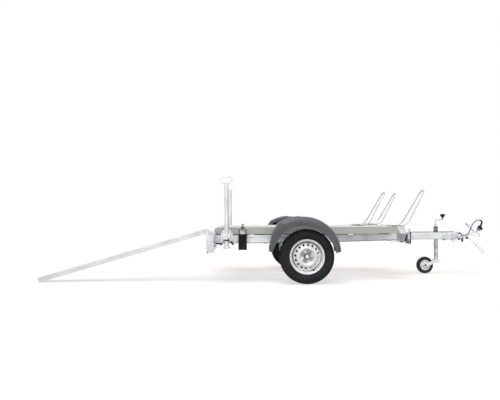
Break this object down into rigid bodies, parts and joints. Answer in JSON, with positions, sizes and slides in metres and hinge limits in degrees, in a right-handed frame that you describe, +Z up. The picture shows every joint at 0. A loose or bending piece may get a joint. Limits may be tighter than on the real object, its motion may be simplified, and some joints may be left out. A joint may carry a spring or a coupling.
{
  "type": "motorcycle trailer",
  "caption": "Single-axle motorcycle trailer with wheel rails, front-wheel hoops, drop legs, jockey wheel and a hooked-on loading ramp.",
  "frame": {"origin": "on the ground, halfway between the ramp foot and the coupling nose, on the centre line", "axes": "+X towards the coupling, +Z up, +Y to the left-hand side"},
  "size_m": [5.027, 1.83, 1.113],
  "materials": {
    "galvanised_frame": "hot-dip galvanised steel, dull spangle",
    "galvanised_rail": "galvanised folded sheet, satin",
    "hoop_steel": "galvanised round bar",
    "cast_coupling": "zinc plated casting, rough",
    "swing_arm_steel": "dull zinc and cast steel",
    "wheel_silver": "silver painted pressed steel",
    "tyre_rubber": "black rubber",
    "jockey_zinc": "zinc plated tube and pressings",
    "jockey_rubber": "solid black rubber",
    "black_plastic": "black moulded plastic",
    "chock_plastic": "black moulded plastic, grained",
    "mudguard_plastic": "dark grey moulded plastic, satin",
    "ramp_aluminium": "mill finish aluminium",
    "lamp_red": "clear red lens",
    "blank_plate": "blank white plate",
    "cable_sheath": "black cable sheath",
    "steel_wire": "bare steel wire",
    "holder_blue": "blue-violet moulded plastic"
  },
  "bodies": {
    "chassis": {"side_beam_right": "galvanised_frame", "side_beam_left": "galvanised_frame", "rear_crossmember": "galvanised_frame", "crossmembers": "galvanised_frame", "axle_tube": "galvanised_frame", "drawbar": "galvanised_frame", "front_bracket": "galvanised_frame", "mudguard_stays": "galvanised_frame", "stand_clamps": "galvanised_frame", "clamp_handles": "galvanised_frame", "chock_holders": "galvanised_frame", "lamp_board": "galvanised_frame", "cable_bracket": "galvanised_frame", "overrun_lever": "galvanised_frame", "guide_ring": "galvanised_frame", "jockey_clamp": "galvanised_frame", "rail_right": "galvanised_rail", "rail_centre": "galvanised_rail", "rail_left": "galvanised_rail", "hoop_right": "hoop_steel", "hoop_centre": "hoop_steel", "hoop_left": "hoop_steel", "hoop_clamps": "hoop_steel", "overrun_housing": "cast_coupling", "coupling_head": "cast_coupling", "coupling_handle": "cast_coupling", "swing_arms": "swing_arm_steel", "chock_knobs": "black_plastic", "plug": "black_plastic", "cable_grommet": "black_plastic", "wheel_chocks": "chock_plastic", "mudguard_right": "mudguard_plastic", "mudguard_left": "mudguard_plastic", "tail_lamps": "lamp_red", "number_plate": "blank_plate", "lighting_cable": "cable_sheath", "frame_cables": "cable_sheath", "breakaway_cable": "steel_wire", "breakaway_hook": "steel_wire", "plug_holder": "holder_blue"},
    "wheel_right_body": {"tyre_right": "tyre_rubber", "wheel_right": "wheel_silver", "hub_right": "swing_arm_steel"},
    "wheel_left_body": {"tyre_left": "tyre_rubber", "wheel_left": "wheel_silver", "hub_left": "swing_arm_steel"},
    "ramp_body": {"ramp": "ramp_aluminium"},
    "stand_right_body": {"stand_right": "galvanised_frame"},
    "stand_left_body": {"stand_left": "galvanised_frame"},
    "jockey_mast": {"jockey_outer_tube": "jockey_zinc", "jockey_cap": "black_plastic", "jockey_crank": "jockey_zinc", "jockey_knob": "black_plastic"},
    "jockey_swivel_fork": {"jockey_fork": "jockey_zinc"},
    "jockey_roller": {"jockey_wheel": "jockey_zinc", "jockey_tyre": "jockey_rubber"}
  },
  "joints": [
    {"name": "wheel_right_spin", "type": "hinge", "parent": "chassis", "child": "wheel_right_body", "pos_m": [0.34514, -0.8, 0.2805], "axis": [0, 1, 0], "continuous": true},
    {"name": "wheel_left_spin", "type": "hinge", "parent": "chassis", "child": "wheel_left_body", "pos_m": [0.34514, 0.8, 0.2805], "axis": [0, 1, 0], "continuous": true},
    {"name": "ramp_tilt", "type": "hinge", "parent": "chassis", "child": "ramp_body", "pos_m": [-0.59156, -0.455, 0.566], "axis": [0, 1, 0], "range_deg": [0, 30]},
    {"name": "stand_right_drop", "type": "slide", "parent": "chassis", "child": "stand_right_body", "axis": [0, 0, -1], "range_m": [0, 0.355]},
    {"name": "stand_left_drop", "type": "slide", "parent": "chassis", "child": "stand_left_body", "axis": [0, 0, -1], "range_m": [0, 0.355]},
    {"name": "jockey_lift", "type": "slide", "parent": "chassis", "child": "jockey_mast", "axis": [0, 0, 1], "range_m": [0, 0.18]},
    {"name": "jockey_swivel", "type": "hinge", "parent": "jockey_mast", "child": "jockey_swivel_fork", "pos_m": [2.00414, 0.08, 0.165], "axis": [0, 0, 1], "continuous": true},
    {"name": "jockey_wheel_spin", "type": "hinge", "parent": "jockey_swivel_fork", "child": "jockey_roller", "pos_m": [1.86514, 0.08, 0.1], "axis": [0, 1, 0], "continuous": true}
  ]
}
